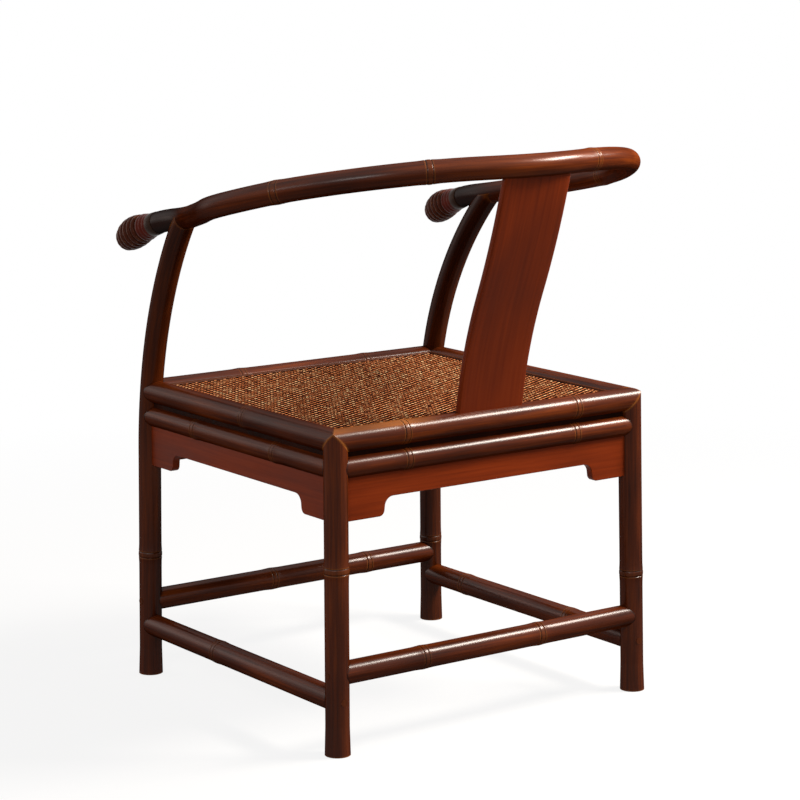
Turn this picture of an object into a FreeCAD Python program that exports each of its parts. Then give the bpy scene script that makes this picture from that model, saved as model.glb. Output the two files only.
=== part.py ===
import FreeCAD, Part
import math
import os

os.makedirs("parts", exist_ok=True)
V = FreeCAD.Vector

# Bamboo armchair with a horseshoe arm rail, in millimetres.
# +X is the sitter's left, the chair faces -Y, and the floor is z = 0.

# Frame: spacing of the leg axes at the seat, and heights of the rail axes
leg_spacing_x = 520.0
leg_spacing_y = 496.0
leg_splay = 5.6
upper_rail_z = 439.0
rail_gap = 5.5
side_stretcher_z = 77.0
stretcher_gap = 4.0

# Poles: the legs, posts and upper rails share one diameter, so that their mitres meet
pole_diameter = 34.0
lower_rail_diameter = 31.0
stretcher_diameter = 33.0
arm_rail_diameter = 32.4
foot_flare = 1.2
foot_flare_height = 46.0
ridge_height = 1.1
ridge_half_width = 5.0
ridge_bed = 0.4

# Arm posts: where the front legs start to bow back
bow_start_z = 350.0

# Horseshoe arm rail: places of its axis on the left half, from the middle of the back to the finial
back_y = 361.0
back_z = 806.0
shoulder_x = 163.0
shoulder_y = 316.0
shoulder_z = 802.0
haunch_x = 290.0
haunch_y = 208.0
haunch_z = 780.5
side_x = 342.0
side_y = 96.0
side_z = 752.5
waist_x = 313.0
waist_y = -10.0
waist_z = 729.0
arm_post_x = 276.0
arm_post_y = -107.0
arm_post_z = 711.6
neck_x = 276.9
neck_y = -179.9
neck_z = 698.5
tip_x = 284.7
tip_y = -277.7
tip_z = 669.1
# Ridges of the arm rail, by the number of the arc from its left end and the share along that arc
arm_ridges = (7.53, 10.1, 13.6, 18.1)

# Finial: a turned knob on a tenon of the rail, wound with cane
tenon_diameter = 16.0
tenon_length = 24.0
collar_length = 15.0
collar_diameter = 34.8
band_length = 20.0
band_diameter = 40.4
bead_groove = 1.0
nose_radius = 9.6
cane_diameter = 7.8
cane_gap = 0.8
cane_loops = 6
cane_flats = 8
tuck_run = 4.0
winding_radius = 20.2
# Shares of the winding's length: its widest place, and the half lengths of its outline behind and before it
crown_share = 0.482
back_half_share = 0.816
front_half_share = 0.661
core_steps = (0.3, 0.65, 1.0)

# Back splat
splat_width = 112.0
splat_thickness = 9.5
splat_foot_lean = 8.0
splat_head_lean = 15.0
splat_tongue = 6.0

# Aprons under the lower rails
apron_thickness = 12.0
apron_height = 32.5
apron_ear_drop = 26.5
apron_ear_length = 62.0
apron_inner_round = 14.0
apron_ear_round = 5.0
apron_tongue = 4.0

# Fillers: strips that close the gap between the upper and lower rails
filler_thickness = 8.0
filler_tongue = 3.0

# Seat: woven mat on a deck held in grooves of the upper rails
mat_below_rail_top = 9.0
mat_thickness = 4.0
deck_thickness = 10.0
deck_groove_depth = 6.0
batten_width = 32.0
batten_height = 12.0
batten_spacing = 190.0
edging_width = 8.0
edging_height = 3.0

# Joinery
joint_gap = 0.15
dowel_fit = 0.1
dowel_diameter = 9.0
dowel_in_rail = 24.0
dowel_apart = 1.0
peg_diameter = 10.0
peg_in_stretcher = 30.0
peg_proud = 0.3
pin_diameter = 4.0
pin_length = 14.0
post_dowel_diameter = 11.0
post_dowel_in_rail = 9.0
post_dowel_in_post = 28.0

pole_radius = pole_diameter / 2
arm_rail_radius = arm_rail_diameter / 2
lower_rail_z = upper_rail_z - pole_radius - rail_gap - lower_rail_diameter / 2
end_stretcher_z = side_stretcher_z + stretcher_diameter + stretcher_gap
rail_back = V(0, back_y, back_z)
rail_shoulder = V(shoulder_x, shoulder_y, shoulder_z)
rail_haunch = V(haunch_x, haunch_y, haunch_z)
rail_side = V(side_x, side_y, side_z)
rail_waist = V(waist_x, waist_y, waist_z)
rail_at_post = V(arm_post_x, arm_post_y, arm_post_z)
rail_neck = V(neck_x, neck_y, neck_z)
finial_tip = V(tip_x, tip_y, tip_z)
cane_radius = cane_diameter / 2
cane_pitch = cane_diameter + cane_gap
winding_length = cane_loops * cane_pitch
winding_crown = crown_share * winding_length
winding_back_half = back_half_share * winding_length
winding_front_half = front_half_share * winding_length
left, right = 1, -1
front, back = -1, 1


def unit(vector):
    return vector * (1.0 / vector.Length)


def mirrored(vector):
    return V(-vector.x, vector.y, vector.z)


def placed(shape, point, way):
    # Moves a shape drawn along +Z so that it starts at point and runs along way
    shape.Placement = FreeCAD.Placement(point, FreeCAD.Rotation(V(0, 0, 1), way))
    return shape


def rod(start, end, radius):
    return Part.makeCylinder(radius, (end - start).Length, start, end - start)


def pole(start, end, radius, ridges=(), foot=False):
    # A straight culm turned from its outline, with a low ridge at each joint of the cane
    length = (end - start).Length
    outline = [V(0, 0, 0)]
    if foot:
        outline += [V(radius + foot_flare, 0, 0), V(radius, 0, foot_flare_height)]
    else:
        outline += [V(radius, 0, 0)]
    for share in ridges:
        middle = share * length
        outline += [V(radius, 0, middle - ridge_half_width), V(radius + ridge_height, 0, middle),
                    V(radius, 0, middle + ridge_half_width)]
    outline += [V(radius, 0, length), V(0, 0, length), V(0, 0, 0)]
    body = Part.Face(Part.makePolygon(outline)).revolve(V(0, 0, 0), V(0, 0, 1), 360)
    return placed(body, start, end - start)


def ridge(point, way, radius):
    # The ridge of a bent culm: two shallow cones, base to base
    rise = Part.makeCone(radius - ridge_bed, radius + ridge_height, ridge_half_width,
                         V(0, 0, -ridge_half_width))
    fall = Part.makeCone(radius + ridge_height, radius - ridge_bed, ridge_half_width)
    return placed(rise.fuse(fall).removeSplitter(), point, way)


def arc_points(start, way, end):
    # The arc that leaves start along way and reaches end, by its first, middle and last points
    chord = end - start
    reach = chord.dot(chord) / (2 * chord.dot(way))
    weight = chord.Length / (2 * reach)
    middle = (start + end + (start + way * reach) * (2 * weight)) * (1 / (2 + 2 * weight))
    return start, middle, end


def arc_to(start, way, end):
    return Part.Arc(*arc_points(start, way, end)).toShape()


def biarc(start, start_way, end, end_way):
    # Two arcs that meet with one tangent, between two points with given directions
    chord = end - start
    along = chord.dot(start_way + end_way)
    spread = 2 * (1 - start_way.dot(end_way))
    reach = chord.dot(chord) / (2 * along)
    if spread > 1e-9:
        reach = (math.sqrt(along ** 2 + spread * chord.dot(chord)) - along) / spread
    meet = (start + start_way * reach + end - end_way * reach) * 0.5
    last, middle, first = arc_points(end, end_way * -1, meet)
    return [arc_to(start, start_way, meet), Part.Arc(first, middle, last).toShape()]


def bent_rod(edges, radius):
    # A round rod along arcs that follow on from each other, each turned about its own centre
    turned = []
    for edge in edges:
        first, last = edge.FirstParameter, edge.LastParameter
        rim = Part.Circle(edge.valueAt(first), edge.tangentAt(first), radius).toShape()
        disc = Part.Face(Part.Wire([rim]))
        turned.append(disc.revolve(edge.Curve.Center, edge.Curve.Axis, math.degrees(last - first)))
    return turned[0].multiFuse(turned[1:]) if len(turned) > 1 else turned[0]


def box(low, high):
    size = high - low
    return Part.makeBox(size.x, size.y, size.z, low)


def cut_behind(shape, point, way):
    # Takes away what lies behind the plane through point that faces along way
    size = 6 * pole_diameter
    block = Part.makeBox(size, size, size, V(-size / 2, -size / 2, -size))
    return shape.cut(placed(block, point, way))


def rounded_outline(corners):
    # Closed outline in the XZ plane from (x, z, radius) corners
    edges = []
    ends = []
    count = len(corners)
    for i in range(count):
        x, z, radius = corners[i]
        here = V(x, 0, z)
        before = unit(V(corners[i - 1][0], 0, corners[i - 1][1]) - here)
        after = unit(V(corners[(i + 1) % count][0], 0, corners[(i + 1) % count][1]) - here)
        setback = radius / math.tan(before.getAngle(after) / 2)
        ends.append((here + before * setback, here + after * setback))
        if radius > 0:
            edges.append(arc_to(ends[i][0], before * -1, ends[i][1]))
    for i in range(count):
        edges.append(Part.LineSegment(ends[i - 1][1], ends[i][0]).toShape())
    return Part.Wire(Part.__sortEdges__(edges))


# Corners: leg axes lean in towards the seat, and the front ones bow back from bow_start_z
def leg_axis(side, end, z):
    out = leg_splay * (1 - z / upper_rail_z)
    return V(side * (leg_spacing_x / 2 + out), end * (leg_spacing_y / 2 + out), z)


def leg_up(side, end):
    return unit(leg_axis(side, end, upper_rail_z) - leg_axis(side, end, 0))


def post_top(side):
    return rail_at_post if side == left else mirrored(rail_at_post)


def post_arc(side):
    return arc_to(leg_axis(side, front, bow_start_z), leg_up(side, front), post_top(side))


def corner(side, end, z):
    # Point of a leg's or post's axis at a height
    if end == back or z <= bow_start_z:
        return leg_axis(side, end, z)
    bow = post_arc(side)
    low, high = bow.FirstParameter, bow.LastParameter
    for _ in range(40):
        middle = (low + high) / 2
        low, high = (middle, high) if bow.valueAt(middle).z < z else (low, middle)
    return bow.valueAt(low)


# Legs and posts
def below_floor(side, end):
    return leg_axis(side, end, -foot_flare_height / 4)


def on_floor(shape):
    under = leg_spacing_x + leg_spacing_y
    return shape.cut(Part.makeBox(2 * under, 2 * under, under, V(-under, -under, -under)))


def arm_post(side, radius, ridges=(), foot=True):
    joint = leg_axis(side, front, bow_start_z)
    shaft = on_floor(pole(below_floor(side, front), joint, radius, ridges, foot))
    return shaft.fuse(bent_rod([post_arc(side)], radius))


def corner_ways(side):
    # Directions of the leg and of the two upper rails, away from a back corner
    forward = unit(corner(side, front, upper_rail_z) - corner(side, back, upper_rail_z))
    return leg_up(side, back) * -1, V(-side, 0, 0), forward


def mitred(shape, side, own):
    ways = corner_ways(side)
    for other in range(3):
        if other != own:
            face = unit(ways[own] - ways[other])
            shape = cut_behind(shape, corner(side, back, upper_rail_z) + face * (joint_gap / 2), face)
    return shape


def back_leg(side, ridges):
    top = leg_axis(side, back, upper_rail_z + pole_diameter)
    return mitred(on_floor(pole(below_floor(side, back), top, pole_radius, ridges, True)), side, 0)


solids = {
    "front_left_post": arm_post(left, pole_radius, (0.55,)),
    "front_right_post": arm_post(right, pole_radius, (0.41,)),
    "back_left_leg": back_leg(left, (0.56,)),
    "back_right_leg": back_leg(right, (0.39,)),
}
# Slightly stouter copies of the uprights, to cope the ends that meet them
fitted_posts = [arm_post(side, pole_radius + joint_gap, foot=False) for side in (left, right)]
fitted_legs = [rod(leg_axis(side, back, 0), leg_axis(side, back, upper_rail_z), pole_radius + joint_gap)
               for side in (left, right)]


def coped(shape):
    for upright in fitted_posts + fitted_legs:
        if shape.BoundBox.intersect(upright.BoundBox):
            shape = shape.cut(upright)
    return shape


# Rails and stretchers run between two corners, named by the side of the seat they are on
spans = {
    "front": ((left, front), (right, front)),
    "back": ((left, back), (right, back)),
    "left": ((left, front), (left, back)),
    "right": ((right, front), (right, back)),
}


def span_ends(name, z):
    first, last = spans[name]
    return corner(first[0], first[1], z), corner(last[0], last[1], z)


def beyond(start, end, extra):
    return end + unit(end - start) * extra


def parted(shape, name, z, ends):
    # Keeps a rail on its own side of the plane that halves a corner, where two rails meet at one height
    for first, last in (spans[name], spans[name][::-1]):
        if first[1] in ends:
            here = corner(first[0], first[1], z)
            own = unit(corner(last[0], last[1], z) - here)
            other = unit(corner(-last[0], -last[1], z) - here)
            face = unit(own - other)
            shape = cut_behind(shape, here + face * (joint_gap / 2), face)
    return shape


def upper_bar(name, gap=0.0):
    # The whole bar of an upper rail, run on past its back corners for the mitres
    start, end = span_ends(name, upper_rail_z)
    before = beyond(end, start, pole_diameter) if name == "back" else start
    after = end if name == "front" else beyond(start, end, pole_diameter)
    return pole(before, after, pole_radius + gap, upper_ridges[name])


def upper_rail(name):
    bar = upper_bar(name)
    if name == "back":
        return mitred(mitred(bar, left, 1), right, 1)
    for post in fitted_posts:
        bar = bar.cut(post)
    bar = parted(bar, name, upper_rail_z, (front,))
    if name == "front":
        return bar
    return mitred(bar, left if name == "left" else right, 2)


def lower_rail(name):
    start, end = span_ends(name, lower_rail_z)
    bar = pole(start, end, lower_rail_diameter / 2, lower_ridges[name])
    return parted(coped(bar), name, lower_rail_z, (front, back))


def stretcher_z(name):
    return end_stretcher_z if name in ("front", "back") else side_stretcher_z


def stretcher(name):
    start, end = span_ends(name, stretcher_z(name))
    return coped(pole(start, end, stretcher_diameter / 2, stretcher_ridges[name]))


# Places of the ridges, as shares of each bar's length
upper_ridges = {"front": (0.3, 0.74), "back": (0.245, 0.76), "left": (0.525,), "right": (0.44,)}
lower_ridges = {"front": (0.28, 0.72), "back": (0.22, 0.79), "left": (0.29, 0.72), "right": (0.33, 0.75)}
stretcher_ridges = {"front": (0.41, 0.75), "back": (0.27, 0.66), "left": (0.4,), "right": (0.2, 0.72)}
for name in spans:
    solids["upper_rail_" + name] = upper_rail(name)
    solids["lower_rail_" + name] = lower_rail(name)
    solids["stretcher_" + name] = stretcher(name)


# Aprons: boards with an ear at each leg, tongued into the lower rails
def apron(name, gap=0.0):
    top = lower_rail_z - lower_rail_diameter / 2
    start, end = span_ends(name, top - apron_height)
    half = (end - start).Length / 2
    ear = half - pole_radius - apron_ear_length
    low = -apron_height - apron_ear_drop
    tongue = apron_tongue + gap
    outline = [(-half, tongue, 0), (half, tongue, 0), (half, low, 0), (ear, low, apron_ear_round),
               (ear, -apron_height, apron_inner_round), (-ear, -apron_height, apron_inner_round),
               (-ear, low, apron_ear_round), (-half, low, 0)]
    thickness = apron_thickness + 2 * gap
    board = Part.Face(rounded_outline(outline)).extrude(V(0, thickness, 0))
    board.translate(V(0, -thickness / 2, 0))
    middle = (start + end) * 0.5
    turn = FreeCAD.Rotation(V(1, 0, 0), V(end.x - start.x, end.y - start.y, 0))
    board.Placement = FreeCAD.Placement(V(middle.x, middle.y, top), turn).multiply(board.Placement)
    return board


for name in spans:
    solids["apron_" + name] = coped(apron(name))
    solids["lower_rail_" + name] = solids["lower_rail_" + name].cut(apron(name, joint_gap))


# Fillers between the upper and lower rails, tongued into both
def filler(name, gap=0.0):
    low = lower_rail_z + lower_rail_diameter / 2 - filler_tongue - gap
    high = upper_rail_z - pole_radius + filler_tongue + gap
    start, end = span_ends(name, (low + high) / 2)
    half = filler_thickness / 2 + gap
    strip = box(V(0, -half, low), V((end - start).Length, half, high))
    turn = FreeCAD.Rotation(V(1, 0, 0), V(end.x - start.x, end.y - start.y, 0))
    strip.Placement = FreeCAD.Placement(V(start.x, start.y, 0), turn).multiply(strip.Placement)
    return strip


for name in spans:
    solids["rail_filler_" + name] = coped(filler(name))
    for family in ("upper_rail_", "lower_rail_"):
        solids[family + name] = solids[family + name].cut(filler(name, joint_gap))


# Horseshoe arm rail, bent through its stations with two arcs between each pair
half_stations = [rail_back, rail_shoulder, rail_haunch, rail_side, rail_waist, rail_at_post, rail_neck]
stations = half_stations[::-1] + [mirrored(station) for station in half_stations[1:]]
finial_way = unit(finial_tip - rail_neck)
station_ways = [finial_way * -1]
for i in range(1, len(stations) - 1):
    station_ways.append(unit(stations[i + 1] - stations[i - 1]))
station_ways.append(mirrored(finial_way))


arm_arcs = []
for i in range(len(stations) - 1):
    arm_arcs += biarc(stations[i], station_ways[i], stations[i + 1], station_ways[i + 1])
arm = bent_rod(arm_arcs, arm_rail_radius)
for place in arm_ridges:
    arc = arm_arcs[int(place)]
    along = arc.FirstParameter + (arc.LastParameter - arc.FirstParameter) * (place % 1)
    arm = arm.fuse(ridge(arc.valueAt(along), arc.tangentAt(along), arm_rail_radius))
for neck, way in ((rail_neck, finial_way), (mirrored(rail_neck), mirrored(finial_way))):
    arm = arm.fuse(rod(neck - way, neck + way * tenon_length, tenon_diameter / 2))
fitted_arm = bent_rod(arm_arcs, arm_rail_radius + joint_gap)
# The posts end in saddles under the rail, which reach up to the middle of its sides
for side, name in ((left, "front_left_post"), (right, "front_right_post")):
    bow = post_arc(side)
    post_way = bow.tangentAt(bow.LastParameter)
    rail_way = station_ways[stations.index(post_top(side))]
    down = unit(rail_way * post_way.dot(rail_way) - post_way)
    solids[name] = cut_behind(solids[name].cut(fitted_arm), post_top(side), down)


# Back splat: a board bent in a slow S, tongued into the back rail and the arm rail
def splat(gap=0.0):
    foot_way = V(0, math.sin(math.radians(splat_foot_lean)), math.cos(math.radians(splat_foot_lean)))
    head_way = V(0, math.sin(math.radians(splat_head_lean)), math.cos(math.radians(splat_head_lean)))
    foot_axis = V(0, leg_spacing_y / 2, upper_rail_z)
    foot = foot_axis + foot_way * (pole_radius - splat_tongue - gap)
    head = rail_back - head_way * (arm_rail_radius - splat_tongue - gap)
    half = splat_thickness / 2 + gap
    foot_side = foot_way.cross(V(1, 0, 0)) * half
    head_side = head_way.cross(V(1, 0, 0)) * half
    edges = biarc(foot + foot_side, foot_way, head + head_side, head_way)
    edges += biarc(foot - foot_side, foot_way, head - head_side, head_way)
    edges.append(Part.LineSegment(foot + foot_side, foot - foot_side).toShape())
    edges.append(Part.LineSegment(head + head_side, head - head_side).toShape())
    width = splat_width + 2 * gap
    board = Part.Face(Part.Wire(Part.__sortEdges__(edges))).extrude(V(width, 0, 0))
    board.translate(V(-width / 2, 0, 0))
    return board


solids["back_splat"] = splat()
solids["upper_rail_back"] = solids["upper_rail_back"].cut(splat(joint_gap))
arm = arm.cut(splat(joint_gap))

# Seat: deck in grooves, two battens under it, the mat on it and an edging round the mat
seat_front = corner(left, front, upper_rail_z).y
seat_back = leg_spacing_y / 2
seat_side = leg_spacing_x / 2
mat_top = upper_rail_z + pole_radius - mat_below_rail_top
deck_top = mat_top - mat_thickness
deck_low = deck_top - deck_thickness
deck_inset = pole_radius - deck_groove_depth


def panel(inset, low, high):
    return box(V(-seat_side + inset, seat_front + inset, low), V(seat_side - inset, seat_back - inset, high))


def batten(side, gap=0.0):
    middle = side * batten_spacing / 2
    half = batten_width / 2 + gap
    inset = deck_inset - gap
    return box(V(middle - half, seat_front + inset, deck_low - batten_height - gap),
               V(middle + half, seat_back - inset, deck_low))


solids["seat_deck"] = coped(panel(deck_inset, deck_low, deck_top))
solids["seat_batten_left"] = batten(left)
solids["seat_batten_right"] = batten(right)
solids["seat_mat"] = panel(pole_radius + ridge_height, deck_top, mat_top)
deck_groove = panel(deck_inset - joint_gap, deck_low - joint_gap, deck_top + joint_gap)
for name in spans:
    rail = solids["upper_rail_" + name].cut(deck_groove)
    if name in ("front", "back"):
        rail = rail.cut(batten(left, joint_gap)).cut(batten(right, joint_gap))
    solids["upper_rail_" + name] = rail

edging_inset = pole_radius - mat_below_rail_top / 2
edge_out = V(seat_side - edging_inset, 0, 0)
edge_in = V(seat_side - edging_inset - edging_width, 0, 0)
front_out, front_in = seat_front + edging_inset, seat_front + edging_inset + edging_width
back_out, back_in = seat_back - edging_inset, seat_back - edging_inset - edging_width
edgings = {
    "left": box(V(edge_in.x, front_out, mat_top), V(edge_out.x, back_out, mat_top + edging_height)),
    "right": box(V(-edge_out.x, front_out, mat_top), V(-edge_in.x, back_out, mat_top + edging_height)),
    "front": box(V(-edge_in.x, front_out, mat_top), V(edge_in.x, front_in, mat_top + edging_height)),
    "back": box(V(-edge_in.x, back_in, mat_top), V(edge_in.x, back_out, mat_top + edging_height)),
}
for name in spans:
    strip = edgings[name]
    for rail_name in spans:
        strip = strip.cut(upper_bar(rail_name, joint_gap))
    solids["seat_edging_" + name] = strip.cut(splat(joint_gap))


# Finials: turned knobs whose outline carries the winding
winding_start = collar_length + band_length + cane_radius + joint_gap


def winding_r(z):
    # Radius of the cane's axis at a distance z from the finial's neck
    past = z - winding_start - winding_crown
    half = winding_front_half if past > 0 else winding_back_half
    return winding_radius * math.sqrt(1 - (past / half) ** 2)


def winding_slope(z):
    return (winding_r(z + 0.01) - winding_r(z - 0.01)) / 0.02


def winding_points(steps):
    # Points and directions of the winding, steps to a turn, a steady pitch apart along the outline
    points, ways = [], []
    z = winding_start
    for i in range(cane_loops * steps + 1):
        turn = 2 * math.pi * i / steps
        out = V(math.cos(turn), math.sin(turn), 0)
        round_ = V(-math.sin(turn), math.cos(turn), 0)
        climb = cane_pitch / (2 * math.pi) / math.hypot(1, winding_slope(z))
        points.append(out * winding_r(z) + V(0, 0, z))
        ways.append(unit(round_ * winding_r(z) + (out * winding_slope(z) + V(0, 0, 1)) * climb))
        for _ in range(8):
            z += cane_pitch / steps / 8 / math.hypot(1, winding_slope(z))
    return points, ways


def tuck(point, way):
    # The cane's end: a quarter bend and a straight run into the knob, square to its axis
    inward = unit(V(-point.x, -point.y, 0))
    inward = unit(inward - way * inward.dot(way))
    bend_end = point + (way + inward) * cane_diameter
    bend = Part.Arc(*arc_points(point, way, bend_end)).toShape()
    run = Part.LineSegment(bend_end, bend_end + inward * tuck_run).toShape()
    return bend, run, bend_end, inward


points, ways = winding_points(2)
tail_bend, tail_run, tail_end, tail_way = tuck(points[-1], ways[-1])
head_bend, head_run, head_end, head_way = tuck(points[0], ways[0] * -1)


def winding():
    edges = [head_run, head_bend]
    for i in range(len(points) - 1):
        edges += biarc(points[i], ways[i], points[i + 1], ways[i + 1])
    edges += [tail_bend, tail_run]
    around = [V(cane_radius * math.cos(2 * math.pi * i / cane_flats),
                cane_radius * math.sin(2 * math.pi * i / cane_flats), 0) for i in range(cane_flats)]
    section = placed(Part.makePolygon(around + around[:1]), head_end + head_way * tuck_run, head_way)
    return Part.Wire(edges).makePipeShell([section], True, False)


def tuck_slot(point, way, inward):
    # The slot that the tucked end of the cane lies in
    half = cane_radius + joint_gap
    slot = box(V(-half, -half, 0), V(half, cane_diameter + half, cane_diameter + tuck_run + joint_gap))
    slot.Placement = FreeCAD.Placement(point, FreeCAD.Rotation(way.cross(inward), way, inward))
    return slot


def knob():
    # Collar, beaded band, then the core that the cane lies on, and a round nose
    socket = tenon_length + 1
    core_gap = cane_radius + joint_gap
    band_end = collar_length + band_length
    outline = [V(tenon_diameter / 2 + joint_gap, 0, joint_gap), V(arm_rail_radius, 0, joint_gap),
               V(collar_diameter / 2, 0, collar_length - bead_groove),
               V(collar_diameter / 2 - bead_groove, 0, collar_length),
               V(collar_diameter / 2, 0, collar_length + bead_groove), V(band_diameter / 2, 0, band_end)]
    last = points[-1].z
    for z in [band_end] + [winding_start + (last - winding_start) * share for share in core_steps]:
        outline.append(V(winding_r(z) - core_gap * math.hypot(1, winding_slope(z)), 0, z))
    outline += [V(nose_radius, 0, last + cane_radius), V(nose_radius * 0.6, 0, last + cane_diameter),
                V(0, 0, last + cane_diameter + 1), V(0, 0, socket),
                V(tenon_diameter / 2 + joint_gap, 0, socket)]
    outline.append(outline[0])
    turned = Part.Face(Part.makePolygon(outline)).revolve(V(0, 0, 0), V(0, 0, 1), 360)
    turned = turned.cut(tuck_slot(points[-1], ways[-1], tail_way))
    return turned.cut(tuck_slot(points[0], ways[0] * -1, head_way))


# Least gap between the cane and itself, measured on points of its axis
fine = winding_points(48)[0]
apart = min((fine[i] - fine[j]).Length for i in range(len(fine)) for j in range(i + 24, len(fine)))
print("least gap of the cane winding to itself: %.2f mm" % (apart - cane_diameter))

for side, name in ((left, "left"), (right, "right")):
    neck = rail_neck if side == left else mirrored(rail_neck)
    way = finial_way if side == left else mirrored(finial_way)
    solids["finial_" + name] = placed(knob(), neck, way)
    solids["cane_wrap_" + name] = placed(winding(), neck, way)


# Joinery: pegs through the legs, dowels in the rail ends, pins across the back mitres
def bored(name, bits):
    for bit in bits:
        solids[name] = solids[name].cut(bit)


upright_names = {(left, front): "front_left_post", (right, front): "front_right_post",
                 (left, back): "back_left_leg", (right, back): "back_right_leg"}


def end_rods(name, z, inner, outer, radius):
    # A rod at each end of a span, from inner to outer along it, measured from the upright's axis
    rods = []
    for first, last in (spans[name], spans[name][::-1]):
        start = corner(first[0], first[1], z)
        way = unit(corner(last[0], last[1], z) - start)
        rods.append((upright_names[first], rod(start + way * inner, start + way * outer, radius)))
    return rods


def join(node, family, name, z, inner, outer, diameter, ends=(True, True)):
    # Adds a rod at each wanted end of a span, and bores both pieces for it
    plain = end_rods(name, z, inner, outer, diameter / 2)
    loose = end_rods(name, z, inner - joint_gap, outer + joint_gap, diameter / 2 + dowel_fit)
    for wanted, (upright, body), (_, hole) in zip(ends, plain, loose):
        if wanted:
            groups.setdefault(node, []).append(body)
            bored(upright, [hole])
            bored(family + name, [hole])


groups = {}
dowel_inner = dowel_diameter / 2 + dowel_apart
for name in spans:
    join("stretcher_pegs", "stretcher_", name, stretcher_z(name), -pole_radius - peg_proud,
         pole_radius + peg_in_stretcher, peg_diameter)
    join("rail_dowels", "lower_rail_", name, lower_rail_z,
         dowel_inner, pole_radius + dowel_in_rail, dowel_diameter)
    if name != "back":
        join("rail_dowels", "upper_rail_", name, upper_rail_z, dowel_inner, pole_radius + dowel_in_rail,
             dowel_diameter, (True, name == "front"))

for side, name in ((left, "left"), (right, "right")):
    ways3 = corner_ways(side)
    owners = [upright_names[(side, back)], "upper_rail_back", "upper_rail_" + name]
    for a, b, c in ((0, 1, 2), (0, 2, 1), (1, 2, 0)):
        middle = corner(side, back, upper_rail_z) + (ways3[a] + ways3[b] - ways3[c]) * (0.3 * pole_radius)
        across = unit(ways3[a] - ways3[b])
        groups.setdefault("corner_pins", []).append(
            rod(middle - across * (pin_length / 2), middle + across * (pin_length / 2), pin_diameter / 2))
        long_half = pin_length / 2 + joint_gap
        hole = rod(middle - across * long_half, middle + across * long_half, pin_diameter / 2 + dowel_fit)
        bored(owners[a], [hole])
        bored(owners[b], [hole])

for side, name in ((left, "front_left_post"), (right, "front_right_post")):
    bow = post_arc(side)
    way = bow.tangentAt(bow.LastParameter)
    seat = post_top(side) - way * arm_rail_radius
    groups.setdefault("post_dowels", []).append(
        rod(seat - way * post_dowel_in_post, seat + way * post_dowel_in_rail, post_dowel_diameter / 2))
    hole = rod(seat - way * (post_dowel_in_post + joint_gap), seat + way * (post_dowel_in_rail + joint_gap),
               post_dowel_diameter / 2 + dowel_fit)
    bored(name, [hole])
    arm = arm.cut(hole)

solids["horseshoe_rail"] = arm
for node in groups:
    solids[node] = Part.makeCompound(groups[node])

# The origin lies on the floor under the middle of the overall box
boxes = [shape.optimalBoundingBox() for shape in solids.values()]
middle_y = (min(b.YMin for b in boxes) + max(b.YMax for b in boxes)) / 2
for node, shape in solids.items():
    shape.translate(V(0, -middle_y, 0))
    shape.exportStep("parts/" + node + ".step")
print("pieces", sum(len(shape.Solids) for shape in solids.values()), "in", len(solids), "nodes")
print("overall %.1f wide %.1f deep %.1f high, origin moved back %.2f" % (
    max(b.XMax for b in boxes) - min(b.XMin for b in boxes),
    max(b.YMax for b in boxes) - min(b.YMin for b in boxes),
    max(b.ZMax for b in boxes), middle_y))
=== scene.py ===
import bmesh
import bpy
from bisect import bisect_right
from math import atan2, cos, exp, hypot, pi, radians, sin, sqrt, tan
from mathutils import Matrix, Vector, noise


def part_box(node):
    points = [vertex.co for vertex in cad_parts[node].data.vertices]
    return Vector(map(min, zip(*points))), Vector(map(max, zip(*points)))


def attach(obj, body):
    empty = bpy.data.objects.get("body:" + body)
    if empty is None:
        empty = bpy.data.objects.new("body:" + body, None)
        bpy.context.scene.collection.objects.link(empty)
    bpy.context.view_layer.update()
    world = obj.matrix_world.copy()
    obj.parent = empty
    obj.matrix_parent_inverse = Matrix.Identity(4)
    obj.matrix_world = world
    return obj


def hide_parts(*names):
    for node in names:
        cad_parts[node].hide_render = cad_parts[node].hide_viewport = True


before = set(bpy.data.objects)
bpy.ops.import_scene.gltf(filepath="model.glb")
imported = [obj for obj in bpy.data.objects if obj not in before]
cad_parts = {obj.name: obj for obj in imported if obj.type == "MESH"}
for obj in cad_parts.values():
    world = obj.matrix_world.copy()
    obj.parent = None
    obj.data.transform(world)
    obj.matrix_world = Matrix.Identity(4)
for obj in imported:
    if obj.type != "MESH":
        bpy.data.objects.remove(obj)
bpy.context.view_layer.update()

print("frame loaded:", len(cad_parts), "nodes")

# the chair's own axes, in metres: +X is the sitter's left, the chair faces -Y
chair = dict(
    legSpacingX=0.520,
    legSpacingY=0.496,
    legSplay=0.0056,
    upperRailZ=0.439,
    lowerRailZ=0.401,
    endStretcherZ=0.114,
    sideStretcherZ=0.077,
    bowStartZ=0.350,
    poleRadius=0.017,
    lowerRailRadius=0.0155,
    stretcherRadius=0.0165,
    armRadius=0.0162,
    underFloor=0.004,
)
poleRadius = chair["poleRadius"]
left, right = 1, -1
front, back = -1, 1

# the back rail shows how far the frame lies from the legs' own middle
railLow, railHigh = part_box("lower_rail_back")
railOut = chair["legSplay"] * (1 - chair["lowerRailZ"] / chair["upperRailZ"])
shiftY = (railLow.y + railHigh.y) / 2 - chair["legSpacingY"] / 2 - railOut


def linear(red, green, blue):
    # a colour as seen on screen, 0 to 255, as the shader wants it
    parts = []
    for value in (red / 255, green / 255, blue / 255):
        parts.append(value / 12.92 if value <= 0.04045 else ((value + 0.055) / 1.055) ** 2.4)
    return (*parts, 1.0)


def addNode(mat, kind, **settings):
    node = mat.node_tree.nodes.new(kind)
    for key, value in settings.items():
        if hasattr(node, key):
            setattr(node, key, value)
        else:
            node.inputs[key].default_value = value
    return node


def join(mat, source, target):
    mat.node_tree.links.new(source, target)


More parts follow.
